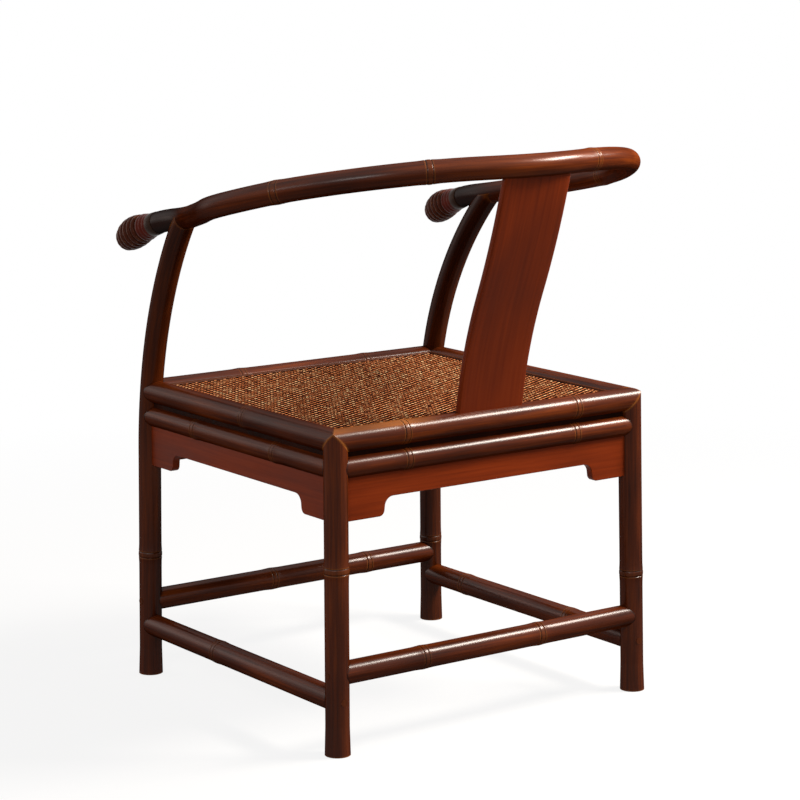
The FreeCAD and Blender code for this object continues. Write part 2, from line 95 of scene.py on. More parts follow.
def newFinish(name):
    mat = bpy.data.materials.new(name)
    mat.use_nodes = True
    return mat, mat.node_tree.nodes["Principled BSDF"]


def split(mat, vector):
    node = addNode(mat, "ShaderNodeSeparateXYZ")
    join(mat, vector, node.inputs[0])
    return node.outputs


def layered(name):
    # a new finish, with the place in the grain and the tones that its pieces carry
    mat, shader = newFinish(name)
    place, tone = (addNode(mat, "ShaderNodeAttribute", attribute_name=key) for key in ("place", "tone"))
    return mat, shader, place.outputs["Vector"], split(mat, tone.outputs["Vector"])


def stretched(mat, vector, scale, detail=5.0, rough=0.6):
    # noise drawn out along one way, as grain is
    mapping = addNode(mat, "ShaderNodeMapping")
    mapping.inputs["Scale"].default_value = scale
    join(mat, vector, mapping.inputs["Vector"])
    tex = addNode(mat, "ShaderNodeTexNoise", Scale=1.0, Detail=detail, Roughness=rough)
    join(mat, mapping.outputs["Vector"], tex.inputs["Vector"])
    return tex.outputs["Fac"]


def ramp(mat, factor, stops, colours):
    node = addNode(mat, "ShaderNodeValToRGB")
    elements = node.color_ramp.elements
    while len(elements) < len(stops):
        elements.new(0.5)
    for element, place, colour in zip(elements, stops, colours):
        element.position = place
        element.color = colour
    join(mat, factor, node.inputs["Fac"])
    return node.outputs["Color"]


def feed(mat, sockets, values):
    # another node's socket is linked, and a plain value is set
    for socket, value in zip(sockets, values):
        if hasattr(value, "is_linked"):
            join(mat, value, socket)
        else:
            socket.default_value = value


def blendColour(mat, *values):
    # values are the factor and the two colours
    node = addNode(mat, "ShaderNodeMix", data_type="RGBA")
    feed(mat, [node.inputs[place] for place in (0, 6, 7)], values)
    return node.outputs[2]


def maths(mat, kind, *values, clamp=False):
    node = addNode(mat, "ShaderNodeMath", operation=kind, use_clamp=clamp)
    feed(mat, node.inputs, values)
    return node.outputs[0]


def spread(mat, *values):
    # values are the factor, its low and high, and the low and high that it takes on
    node = addNode(mat, "ShaderNodeMapRange")
    feed(mat, node.inputs, values)
    return node.outputs["Result"]


noiseSpan = (0.3, 0.7)


def overNoise(mat, grain, low, high):
    # noise seldom leaves the middle of its range, so that span is drawn out
    return spread(mat, grain, *noiseSpan, low, high)


def weighed(mat, first, firstShare, second, secondShare):
    return maths(mat, "MULTIPLY_ADD", first, firstShare, maths(mat, "MULTIPLY", second, secondShare))


glossSockets = {"gloss": "Specular IOR Level", "coat": "Coat Weight", "coatIndex": "Coat IOR",
                "coatRough": "Coat Roughness"}


def dress(mat, shader, s, colour, rough, height):
    # the last steps of each finish: colour, roughness, gloss and fine relief
    join(mat, colour, shader.inputs["Base Color"])
    join(mat, rough, shader.inputs["Roughness"])
    for key, socket in glossSockets.items():
        if key in s:
            shader.inputs[socket].default_value = s[key]
    if "bump" in s:
        strength, distance = s["bump"]
        bump = addNode(mat, "ShaderNodeBump", Strength=strength, Distance=distance)
        join(mat, height, bump.inputs["Height"])
        join(mat, bump.outputs["Normal"], shader.inputs["Normal"])
    return mat


# lacquered bamboo: fine fibres along the culm, cloudy lacquer, worn rings at the joints, painted contact
# shade at the seams and painted light on some upper sides and rims
culmFinish = dict(
    colours=(linear(48, 17, 5), linear(80, 32, 10), linear(115, 51, 15)), stops=(0.36, 0.53, 0.7),
    worn=linear(196, 120, 52), wearOver=(0.35, 0.65), wear=(0.25, 0.9),
    groove=linear(16, 7, 4), grooveShare=0.85, grooveRough=0.3,
    fibreScale=(260.0, 260.0, 9.0), cloudScale=(22.0, 22.0, 5.0), rough=(0.3, 0.42),
    bump=(0.08, 0.0003), gloss=0.0, polishOver=(-0.1, 0.5), polish=(0.03, 0.15),
    grazingOver=(0.5, 0.8), grazingShare=0.15, coatIndex=2.2, coatRough=0.25,
)


def culmLacquer():
    s = culmFinish
    mat, shader, place, (worn, groove, dim) = layered("culmLacquer")
    fibre = stretched(mat, place, s["fibreScale"])
    cloud = stretched(mat, place, s["cloudScale"], 3.0, 0.5)
    colour = ramp(mat, weighed(mat, fibre, 0.5, cloud, 0.55), s["stops"], s["colours"])
    # the worn tone also carries painted light: the lit upper side of the back rail and the rims' painted edge
    # highlight
    wear = maths(mat, "MULTIPLY", worn, spread(mat, cloud, *s["wearOver"], *s["wear"]), clamp=True)
    colour = blendColour(mat, wear, colour, s["worn"])
    # the third tone is the darkening along the culm and the painted contact shade along its seams
    shade = maths(mat, "MAXIMUM", groove, dim, clamp=True)
    colour = blendColour(mat, maths(mat, "MULTIPLY", shade, s["grooveShare"]), colour, s["groove"])
    rough = maths(mat, "MULTIPLY_ADD", shade, s["grooveRough"], overNoise(mat, cloud, *s["rough"]))
    # hands and dusters polish the upper sides, and the polish thins at grazing angles
    upward = split(mat, addNode(mat, "ShaderNodeNewGeometry").outputs["Normal"])[2]
    polish = spread(mat, upward, *s["polishOver"], *s["polish"])
    grazing = addNode(mat, "ShaderNodeLayerWeight", Blend=0.5).outputs["Facing"]
    thin = spread(mat, grazing, *s["grazingOver"], 1.0, s["grazingShare"])
    join(mat, maths(mat, "MULTIPLY", polish, thin), shader.inputs["Coat Weight"])
    return dress(mat, shader, s, colour, rough, fibre)


# flat lacquered boards: the splat and the aprons
boardFinish = dict(
    colours=(linear(98, 34, 10), linear(123, 45, 14), linear(143, 56, 19)),
    stops=(0.36, 0.54, 0.72), lowDark=linear(40, 16, 10), lowDarkShare=(0.6, 1.0),
    grainScale=(190.0, 5.0, 190.0), cloudScale=(14.0, 4.0, 14.0), rough=(0.36, 0.5),
    bump=(0.1, 0.0004), gloss=0.05,
)


def boardLacquer():
    s = boardFinish
    mat, shader, place, tone = layered("boardLacquer")
    grain = stretched(mat, place, s["grainScale"], 6.0, 0.65)
    cloud = stretched(mat, place, s["cloudScale"], 2.0, 0.5)
    colour = ramp(mat, weighed(mat, grain, 0.5, cloud, 0.55), s["stops"], s["colours"])
    # darker towards the splat's foot across its width, most just off its middle; the aprons carry none
    lowDark = maths(mat, "MULTIPLY", tone[0], overNoise(mat, grain, *s["lowDarkShare"]), clamp=True)
    colour = blendColour(mat, lowDark, colour, s["lowDark"])
    return dress(mat, shader, s, colour, overNoise(mat, cloud, *s["rough"]), grain)


# turned finial: collar, band and core under the same lacquer, with fine turning lines; the core, seen only
# between the loops of cane, is painted dark as the shade there
knobFinish = dict(
    collar=linear(64, 44, 34), band=linear(98, 36, 25), core=linear(30, 14, 9),
    cloud=linear(24, 11, 7), cloudShare=(0.0, 0.45), lineScale=(30.0, 30.0, 900.0),
    cloudScale=(60.0, 60.0, 60.0), rough=(0.24, 0.4), bump=(0.12, 0.0004), gloss=0.04,
)


def knobLacquer():
    s = knobFinish
    mat, shader, place, (band, core, _) = layered("knobLacquer")
    lines = stretched(mat, place, s["lineScale"], 3.0, 0.5)
    cloud = stretched(mat, place, s["cloudScale"], 3.0, 0.5)
    colour = blendColour(mat, band, s["collar"], s["band"])
    colour = blendColour(mat, core, colour, s["core"])
    colour = blendColour(mat, overNoise(mat, cloud, *s["cloudShare"]), colour, s["cloud"])
    return dress(mat, shader, s, colour, overNoise(mat, lines, *s["rough"]), lines)


# cane of the windings: dark lacquer, worn lighter where it stands proud, partly painted glints, and painted
# shade on its sides between the loops
caneFinish = dict(
    colours=(linear(52, 21, 12), linear(90, 43, 26)), worn=linear(190, 140, 100),
    wearOver=(0.55, 0.75), wear=(0.0, 0.8), side=linear(18, 8, 5),
    fibreScale=(1500.0, 1500.0, 60.0), patchScale=(300.0, 300.0, 120.0), rough=(0.22, 0.4),
    bump=(0.25, 0.0003), gloss=0.04,
)


def caneLacquer():
    s = caneFinish
    mat, shader, place, (proud, low, _) = layered("caneLacquer")
    fibre = stretched(mat, place, s["fibreScale"], 4.0, 0.6)
    patch = stretched(mat, place, s["patchScale"], 3.0, 0.5)
    colour = ramp(mat, fibre, noiseSpan, s["colours"])
    wear = maths(mat, "MULTIPLY", proud, spread(mat, patch, *s["wearOver"], *s["wear"]), clamp=True)
    colour = blendColour(mat, wear, colour, s["worn"])
    # painted shade on the sides of the cane, between the loops
    colour = blendColour(mat, low, colour, s["side"])
    return dress(mat, shader, s, colour, overNoise(mat, fibre, *s["rough"]), fibre)


# split cane of the mat and its edging; under is the painted shade where a mat strip dives, and the mat's
# palest colours stand partly for glints on the crowns
stripFinish = dict(
    mat=(linear(84, 30, 13), linear(208, 120, 70), linear(250, 200, 146)),
    edging=(linear(52, 24, 13), linear(82, 43, 25), linear(109, 65, 41)), stops=(0.2, 0.5, 0.82),
    under=linear(26, 7, 3), fibreScale=(900.0, 900.0, 40.0), rough=(0.26, 0.4),
    bump=(0.2, 0.0003), gloss=0.0, coat=0.03, coatIndex=2.2, coatRough=0.32,
)


def stripCane(use):
    s = stripFinish
    mat, shader, place, (tint, under, _) = layered(use + "Cane")
    fibre = stretched(mat, place, s["fibreScale"], 4.0, 0.6)
    colour = ramp(mat, weighed(mat, fibre, 0.45, tint, 0.5), s["stops"], s[use])
    # painted shade where the strip dives under its neighbour
    colour = blendColour(mat, under, colour, s["under"])
    return dress(mat, shader, s, colour, overNoise(mat, fibre, *s["rough"]), fibre)


# bare wood of the pieces under the seat and inside the joints
bareFinish = dict(grainScale=160.0, lengthScale=5.0, ringShare=0.15, stops=(0.36, 0.66),
                  rough=(0.5, 0.7), bump=(0.2, 0.0004), gloss=0.02)


def hiddenWood(name, dark, pale, lengthwise):
    s = bareFinish
    mat, shader = newFinish(name)
    place = addNode(mat, "ShaderNodeTexCoord").outputs["Object"]
    scale = [s["grainScale"]] * 3
    scale[lengthwise] = s["lengthScale"]
    grain = stretched(mat, place, scale, 6.0, 0.65)
    rings = stretched(mat, place, [value * s["ringShare"] for value in scale], 2.0, 0.5)
    colour = ramp(mat, weighed(mat, grain, 0.5, rings, 0.5), s["stops"], (dark, pale))
    return dress(mat, shader, s, colour, overNoise(mat, grain, *s["rough"]), grain)


# a dark sheet under the weave, painted as the shade seen through its holes
shadeSheetFinish = dict(colours=(linear(34, 14, 7), linear(62, 27, 13)), speckScale=(420.0, 420.0, 420.0),
                    rough=(0.6, 0.8), gloss=0.02)


def paintedShadeSheet():
    s = shadeSheetFinish
    mat, shader = newFinish("paintedShadeSheet")
    place = addNode(mat, "ShaderNodeTexCoord").outputs["Object"]
    speck = stretched(mat, place, s["speckScale"], 3.0, 0.6)
    colour = ramp(mat, speck, noiseSpan, s["colours"])
    return dress(mat, shader, s, colour, overNoise(mat, speck, *s["rough"]), speck)


finishes = {
    "culm": culmLacquer(),
    "board": boardLacquer(),
    "knob": knobLacquer(),
    "cane": caneLacquer(),
    "mat": stripCane("mat"),
    "edging": stripCane("edging"),
    "shadeSheet": paintedShadeSheet(),
    "deck": hiddenWood("deckWood", linear(104, 70, 42), linear(158, 116, 74), 1),
    "joinery": hiddenWood("joineryWood", linear(66, 30, 17), linear(104, 54, 30), 2),
    # the fillers between the rails are near black, painted as the shade in the gap
    "filler": hiddenWood("fillerPaintedShade", linear(24, 9, 5), linear(46, 18, 9), 2),
}
print("finishes made:", len(finishes))


def addObject(name, data):
    thing = bpy.data.objects.new(name, data)
    bpy.context.scene.collection.objects.link(thing)
    return thing


def fromBmesh(name, bm):
    mesh = bpy.data.meshes.new(name)
    bm.to_mesh(mesh)
    bm.free()
    return addObject(name, mesh)


def makePiece(name, finish, rows, faces):
    # each row is a vertex, its place in the grain and its tones
    mesh = bpy.data.meshes.new(name)
    mesh.from_pydata([row[0] for row in rows], [], faces)
    for part, key in ((1, "place"), (2, "tone")):
        layer = mesh.attributes.new(key, "FLOAT_VECTOR", "POINT")
        layer.data.foreach_set("vector", [value for row in rows for value in row[part]])
    mesh.polygons.foreach_set("use_smooth", [True] * len(mesh.polygons))
    mesh.materials.append(finishes[finish])
    return addObject(name, mesh)


def seat(piece, slotName, *nodes):
    # the piece stands for its nodes and rides with the chair's one body
    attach(piece, "root")
    if nodes:
        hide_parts(*nodes)


def sharpFrom(piece, angle):
    piece.data.set_sharp_from_angle(angle=radians(angle))


def softEdges(piece, width, angle=35):
    sharpFrom(piece, angle)
    bevel = piece.modifiers.new("softEdges", "BEVEL")
    bevel.width = width
    bevel.segments = 2
    bevel.limit_method = "ANGLE"
    bevel.angle_limit = radians(angle)


def faceOut(piece):
    bm = bmesh.new()
    bm.from_mesh(piece.data)
    bmesh.ops.recalc_face_normals(bm, faces=bm.faces)
    bm.to_mesh(piece.data)
    bm.free()


def tubeFaces(around, rings):
    # faces of a closed tube whose points lie ring after ring
    faces = []
    for k in range(rings - 1):
        for i in range(around):
            j = (i + 1) % around
            faces.append((k * around + i, k * around + j, (k + 1) * around + j, (k + 1) * around + i))
    faces.append(tuple(range(around))[::-1])
    faces.append(tuple(range((rings - 1) * around, rings * around)))
    return faces


def makeTube(name, finish, rows, around):
    return makePiece(name, finish, rows, tubeFaces(around, len(rows) // around))


def circle(count):
    for i in range(count):
        turn = 2 * pi * i / count
        yield turn, cos(turn), sin(turn)


def within(value):
    return min(1.0, max(0.0, value))


# paths are lists of points close together
def arcPath(start, way, end, step=0.004):
    chord = end - start
    along = chord.dot(way)
    aside = chord - way * along
    if aside.length < 1e-7:
        count = max(2, int(chord.length / step))
        return [start + chord * (i / count) for i in range(count + 1)]
    angle = 2 * atan2(aside.length, along)
    radius = chord.length / (2 * sin(angle / 2))
    inward = aside.normalized()
    count = max(3, int(radius * angle / step))
    turns = [angle * i / count for i in range(count + 1)]
    return [start + way * (radius * sin(t)) + inward * (radius * (1 - cos(t))) for t in turns]


def biarcPath(start, startWay, end, endWay):
    chord = end - start
    along = chord.dot(startWay + endWay)
    spare = 2 * (1 - startWay.dot(endWay))
    reach = chord.dot(chord) / (2 * along)
    if spare > 1e-9:
        reach = (sqrt(along ** 2 + spare * chord.dot(chord)) - along) / spare
    meet = (start + startWay * reach + end - endWay * reach) * 0.5
    return arcPath(start, startWay, meet), arcPath(end, -endWay, meet)[::-1]


def pathLengths(path):
    lengths = [0.0]
    for before, after in zip(path, path[1:]):
        lengths.append(lengths[-1] + (after - before).length)
    return lengths


def pointAlong(path, lengths, s):
    # point and direction at a distance along a path
    high = min(max(bisect_right(lengths, s), 1), len(lengths) - 1)
    low = high - 1
    share = (s - lengths[low]) / (lengths[high] - lengths[low])
    before = path[max(low - 1, 0)]
    after = path[min(high + 1, len(path) - 1)]
    return path[low].lerp(path[high], share), (after - before).normalized()


def eased(path, reach):
    # evens out the changes of curvature, and keeps both ends
    smooth = []
    for i in range(len(path)):
        span = min(reach, i, len(path) - 1 - i)
        smooth.append(sum(path[i - span:i + span + 1], Vector()) / (2 * span + 1))
    return smooth


def legPoint(side, end, z):
    out = chair["legSplay"] * (1 - z / chair["upperRailZ"])
    x = side * (chair["legSpacingX"] / 2 + out)
    y = end * (chair["legSpacingY"] / 2 + out) + shiftY
    return Vector((x, y, z))


def legTop(side, end=back):
    return legPoint(side, end, chair["upperRailZ"])


def legUp(side, end):
    return (legTop(side, end) - legPoint(side, end, 0)).normalized()


# arm rail: places of its axis on the left half, from the middle of the back to the finial's neck
armPlaces = {
    "back": (0.0, 0.361, 0.806),
    "shoulder": (0.163, 0.316, 0.802),
    "haunch": (0.290, 0.208, 0.7805),
    "side": (0.342, 0.096, 0.7525),
    "waist": (0.313, -0.010, 0.729),
    "post": (0.276, -0.107, 0.7116),
    "neck": (0.2769, -0.1799, 0.6985),
    "tip": (0.2847, -0.2777, 0.6691),
}


def armPlace(name, side=left):
    x, y, z = armPlaces[name]
    return Vector((side * x, y + shiftY, z))


def armArcs():
    names = ["neck", "post", "waist", "side", "haunch", "shoulder", "back"]
    places = [armPlace(name) for name in names] + [armPlace(name, right) for name in names[-2::-1]]
    ways = [(armPlace("neck") - armPlace("tip")).normalized()]
    ways += [(after - before).normalized() for before, after in zip(places, places[2:])]
    ways.append((armPlace("tip", right) - armPlace("neck", right)).normalized())
    arcs = []
    for i in range(len(places) - 1):
        arcs += biarcPath(places[i], ways[i], places[i + 1], ways[i + 1])
    return arcs


def postPath(side, steps=80):
    joint = legPoint(side, front, chair["bowStartZ"])
    bow = arcPath(joint, legUp(side, front), armPlace("post", side))
    foot = legPoint(side, front, -chair["underFloor"])
    return [foot.lerp(joint, i / steps) for i in range(steps)] + bow


def postAt(side, z):
    # point of a front post's axis at a height
    path = postPath(side)
    for before, after in zip(path, path[1:]):
        if before.z <= z <= after.z:
            return before.lerp(after, (z - before.z) / (after.z - before.z))


def corner(side, end, z):
    return legPoint(side, end, z) if end == back else postAt(side, z)


# one culm: a swept round bar with swollen joints, each marked by two fine grooves with worn lips
jointShape = dict(
    swell=0.0008, swellReach=0.009, wear=0.08, wearReach=0.004,
    grooveApart=0.004, grooveDepth=0.0009, grooveWidth=0.0006,
    lipApart=0.0053, lipWidth=0.0007, lipWear=0.32,
    waver=0.00012, waverScale=(0.7, 9, 7.3), grainShift=(0.37, 0.11),
    flareReach=0.046, dimSlope=1.8, litTopFrom=0.55, litTopSlope=4,
    seamReach=0.0016, rimReach=0.0013,
    around=44, step=0.012, fineStep=0.0007, fineReach=0.014, endStep=0.0013,
    leastStep=0.0004,
)


def bell(distance, width):
    return exp(-(distance / width) ** 2)


def nearJoints(along, joints, width, apart=0.0):
    # how near a place lies to the joints, or to the two lines beside each
    gaps = (-apart, apart) if apart else (0.0,)
    return sum(bell(along - joint - gap, width) for joint in joints for gap in gaps)


def ringPlaces(total, joints, endReach):
    # distances along a culm, closer together at its joints and ends
    s = jointShape
    count = int(total / s["step"])
    places = {round(total * i / max(2, count), 5) for i in range(count + 1)}
    fine = int(s["fineReach"] / s["fineStep"])
    for joint in joints:
        places |= {round(joint + i * s["fineStep"], 5) for i in range(-fine, fine + 1)}
    for i in range(int(endReach / s["endStep"])):
        places |= {round(i * s["endStep"], 5), round(total - i * s["endStep"], 5)}
    places |= {0.0, round(total, 5)}
    kept = []
    for place in sorted(place for place in places if 0 <= place <= total):
        if not kept or place - kept[-1] > s["leastStep"]:
            kept.append(place)
    return kept


def fromLine(point, start, end):
    way = end - start
    return (point - start - way * within((point - start).dot(way) / way.dot(way))).length


def culm(name, path, radius, joints, seed, foot=0.0, meets=(), endReach=0.02, dim=(0.0, 0.0), dimEnds=None,
         rim=0.0, glow=None):
    # joints are distances along the path; meets are (start, end, radius) of what the culm runs into, along
    # which it is painted darker as contact shade, and rim is a lighter line along that seam, wear and partly
    # a painted edge highlight; dim darkens the culm from its first end to its last, and dimEnds both ends, by
    # (reach, amount);
    # glow is a stretch of its upper side painted lighter, wear and partly painted light from above, as
    # (reach, amount)
    s = jointShape
    lengths = pathLengths(path)
    total = lengths[-1]
    rows = []
    side = None
    waverAround, waverAlong, waverSeed = s["waverScale"]
    shiftX, shiftAcross = (seed * shift for shift in s["grainShift"])
    for along in ringPlaces(total, joints, endReach):
        middle, way = pointAlong(path, lengths, min(along, total - 1e-6))
        if side is None:
            side = way.orthogonal().normalized()
        side = (side - way * side.dot(way)).normalized()
        across = way.cross(side)
        swell = nearJoints(along, joints, s["swellReach"])
        groove = nearJoints(along, joints, s["grooveWidth"], s["grooveApart"])
        wear = s["wear"] * nearJoints(along, joints, s["wearReach"])
        wear += s["lipWear"] * nearJoints(along, joints, s["lipWidth"], s["lipApart"])
        shade = dim[0] + (dim[1] - dim[0]) * along / total
        if dimEnds:
            nearEnd = min(1.0, s["dimSlope"] * (1 - min(along, total - along) / dimEnds[0]))
            shade = max(shade, dimEnds[1] * nearEnd)
        # the stretch near the first end is painted lighter on its upper side only: wear, and partly painted
        # light from above
        wornAndLitTop = glow[1] * within(3 - 2 * along / glow[0]) if glow else 0.0
        flare = foot * max(0.0, 1 - along / s["flareReach"])
        for turn, c, d in circle(s["around"]):
            out = side * c + across * d
            spot = Vector((c * waverAround, d * waverAround, along * waverAlong + seed * waverSeed))
            waver = noise.noise(spot)
            size = radius + flare + swell * s["swell"] - groove * s["grooveDepth"] + waver * s["waver"]
            point = middle + out * size
            place = (c * radius + shiftX, d * radius + shiftAcross, along)
            dimAndPaintedSeamShade, worn = shade, wear + wornAndLitTop * within((out.z - s["litTopFrom"]) * s["litTopSlope"])
            # along each seam the culm is painted darker, as contact shade; rim turns that into a lighter
            # line, wear and partly a painted edge highlight
            for start, end, other in meets:
                gap = max(fromLine(point, start, end) - other, 0.0)
                shadow = (1 - rim) * (1 - gap / s["seamReach"])
                dimAndPaintedSeamShade = max(dimAndPaintedSeamShade * (1 - rim * bell(gap, s["seamReach"])), shadow)
                worn = max(worn, rim * bell(gap, s["rimReach"]))
            rows.append((point, place, (min(worn, 1.0), min(groove, 1.0), max(dimAndPaintedSeamShade, 0.0))))
    return makeTube(name, "culm", rows, s["around"])


# a mitre's wear along its edge, and the hair's gap between two mitred poles
mitreShape = dict(wear=0.75, wearReach=0.0011, gap=0.0001)


def mitre(piece, point, way):
    # keeps what lies ahead of the plane through point, and closes the cut
    bm = bmesh.new()
    bm.from_mesh(piece.data)
    geometry = bm.verts[:] + bm.edges[:] + bm.faces[:]
    bmesh.ops.bisect_plane(bm, geom=geometry, plane_co=point, plane_no=way, clear_inner=True)
    rim = [edge for edge in bm.edges if edge.is_boundary]
    if rim:
        made = bmesh.ops.edgeloop_fill(bm, edges=rim)
        for face in made["faces"]:
            face.smooth = False
    tone = bm.verts.layers.float_vector["tone"]
    for vert in bm.verts:
        worn = mitreShape["wear"] * bell((vert.co - point).dot(way), mitreShape["wearReach"])
        vert[tone] = Vector((max(vert[tone].x, worn), vert[tone].y, vert[tone].z))
    bmesh.ops.recalc_face_normals(bm, faces=bm.faces)
    bm.to_mesh(piece.data)
    bm.free()


def straight(start, end, step=0.01):
    count = max(2, int((end - start).length / step))
    return [start.lerp(end, i / count) for i in range(count + 1)]


def cornerWays(side):
    ahead = corner(side, front, chair["upperRailZ"]) - legTop(side)
    return -legUp(side, back), Vector((-side, 0, 0)), ahead.normalized()


def mitreBack(piece, side, own):
    ways = cornerWays(side)
    for other in range(3):
        if other != own:
            face = (ways[own] - ways[other]).normalized()
            mitre(piece, legTop(side) + face * mitreShape["gap"], face)


# joints of the arm rail: the number of the arc from its left end, and the share along that arc
armRail = dict(joints=(7.53, 10.1, 13.27, 18.1), seed=1, dimEnds=(0.12, 1.0), ease=5)
arcs = armArcs()
arcLengths = [pathLengths(arc)[-1] for arc in arcs]
arm = eased(arcs[0] + [point for arc in arcs[1:] for point in arc[1:]], armRail["ease"])
armJoints = [sum(arcLengths[:int(place)]) + place % 1 * arcLengths[int(place)] for place in armRail["joints"]]
armPiece = culm("armRail", arm, chair["armRadius"], armJoints, armRail["seed"], dimEnds=armRail["dimEnds"])
seat(armPiece, "lacquered_bamboo", "horseshoe_rail")

# legs and posts: joints as heights above the floor
uprights = {
    "postLeft": {"node": "front_left_post", "side": left, "end": front, "joints": (0.187,), "seed": 2,
                 "dim": (0.06, 0.66), "rim": 0.35},
    "postRight": {"node": "front_right_post", "side": right, "end": front, "joints": (0.137,), "seed": 3,
                  "dim": (0.5, 0.85), "rim": 0.3},
    "legLeft": {"node": "back_left_leg", "side": left, "end": back, "joints": (0.260,), "seed": 4,
                "dim": (0.16, 0.08)},
    "legRight": {"node": "back_right_leg", "side": right, "end": back, "joints": (0.179,), "seed": 5,
                 "dim": (0.14, 0.1)},
}
uprightShape = dict(footFlare=0.0012, overrun=0.012, postReach=0.05, legReach=0.06, edge=0.0006)


def saddle(piece, side):
    # ends a post under the arm rail, level with the middle of the rail's sides
    path = postPath(side)
    postWay = (path[-1] - path[-2]).normalized()
    railWay = (armPlace("neck", side) - armPlace("waist", side)).normalized()
    mitre(piece, armPlace("post", side), (railWay * postWay.dot(railWay) - postWay).normalized())


for name, u in uprights.items():
    s, side = uprightShape, u["side"]
    joints = [height + chair["underFloor"] for height in u["joints"]]
    if u["end"] == front:
        path = postPath(side)
        path.append(path[-1] + (path[-1] - path[-2]).normalized() * s["overrun"])
        # the post is painted darker as contact shade where the arm rail sits on it, with a lighter rim
        run = [armPlace(place, side) for place in ("waist", "post", "neck")]
        meets = [(before, after, chair["armRadius"]) for before, after in zip(run, run[1:])]
        piece = culm(name, path, poleRadius, joints, u["seed"], s["footFlare"], meets,
                     s["postReach"], u["dim"], rim=u["rim"])
        saddle(piece, side)
    else:
        foot = legPoint(side, back, -chair["underFloor"])
        top = legPoint(side, back, chair["upperRailZ"] + 2 * poleRadius)
        piece = culm(name, straight(foot, top), poleRadius, joints, u["seed"], s["footFlare"],
                     endReach=s["legReach"], dim=u["dim"])
        mitreBack(piece, side, 0)
    mitre(piece, Vector((0, 0, 0)), Vector((0, 0, 1)))
    softEdges(piece, s["edge"])
    seat(piece, "lacquered_bamboo", u["node"])
print("arm rail, posts and legs made")

# rails and stretchers: joints as shares of the bar between its two corners
spans = {
    "front": ((left, front), (right, front)),
    "back": ((left, back), (right, back)),
    "left": ((left, front), (left, back)),
    "right": ((right, front), (right, back)),
}
bars = {
    "upper_rail_front": (0.3, 0.74),
    "upper_rail_back": (0.2117, 0.794),
    "upper_rail_left": (0.56,),
    "upper_rail_right": (0.47,),
    "lower_rail_front": (0.28, 0.72),
    "lower_rail_back": (0.22, 0.79),
    "lower_rail_left": (0.29, 0.72),
    "lower_rail_right": (0.33, 0.75),
    "stretcher_front": (0.41, 0.75),
    "stretcher_back": (0.27, 0.66),
    "stretcher_left": (0.4,),
    "stretcher_right": (0.2, 0.72),
}
# glow marks a stretch of the back rail's upper side painted lighter, wear and partly painted light from above
barShape = {"sunk": 0.006, "seamHalf": 0.03, "seamRun": 4, "railReach": 0.056, "plainReach": 0.02,
            "edge": 0.0006, "firstSeed": 6, "glow": {"upper_rail_back": (0.14, 0.6)}}


def barHeight(family, name):
    if family == "stretcher":
        return chair["endStretcherZ"] if name in ("front", "back") else chair["sideStretcherZ"]
    return chair["upperRailZ"] if family == "upper_rail" else chair["lowerRailZ"]


for seed, (node, shares) in enumerate(bars.items(), barShape["firstSeed"]):
    s = barShape
    family, name = node.rsplit("_", 1)
    upper = family == "upper_rail"
    mitred = upper and name != "front"
    z = barHeight(family, name)
    radius = {"upper_rail": poleRadius, "lower_rail": chair["lowerRailRadius"],
              "stretcher": chair["stretcherRadius"]}[family]
    first, last = spans[name]
    start, end = corner(*first, z), corner(*last, z)
    way = (end - start).normalized()
    length = (end - start).length
    meets = []
    # ends that run into a post are painted darker along the seam, as contact shade
    for place in (first, last):
        if not upper or place[1] == front:
            low, high = corner(*place, z - s["seamHalf"]), corner(*place, z + s["seamHalf"])
            run = (high - low) * s["seamRun"]
            meets.append((low - run, high + run, poleRadius))
    before = 2 * poleRadius if node == "upper_rail_back" else -s["sunk"]
    after = 2 * poleRadius if mitred else -s["sunk"]
    path = straight(start - way * before, end + way * after)
    joints = [share * length + before for share in shares]
    piece = culm(family.replace("_r", "R") + name.title(), path, radius, joints, seed, meets=meets,
                 endReach=s["railReach" if upper else "plainReach"], glow=s["glow"].get(node))
    if node == "upper_rail_back":
        mitreBack(piece, left, 1)
        mitreBack(piece, right, 1)
    elif mitred:
        mitreBack(piece, left if name == "left" else right, 2)
    softEdges(piece, s["edge"])
    seat(piece, "lacquered_bamboo", node)
print("rails and stretchers made")

# back splat: a board with softened edges, bent in a slow S
splat = dict(
    width=0.112, thickness=0.0095, footLean=8.0, headLean=15.0, edge=0.0018, tongue=0.006,
    edgeSteps=4, across=14, rings=70, grainShift=3.1,
    lowDark=0.3, lowDarkLeast=0.6, lowDarkX=-0.012, lowDarkWidth=0.026, lowDarkHigh=0.05,
    lowDarkReach=0.32, sharpFrom=50,
)


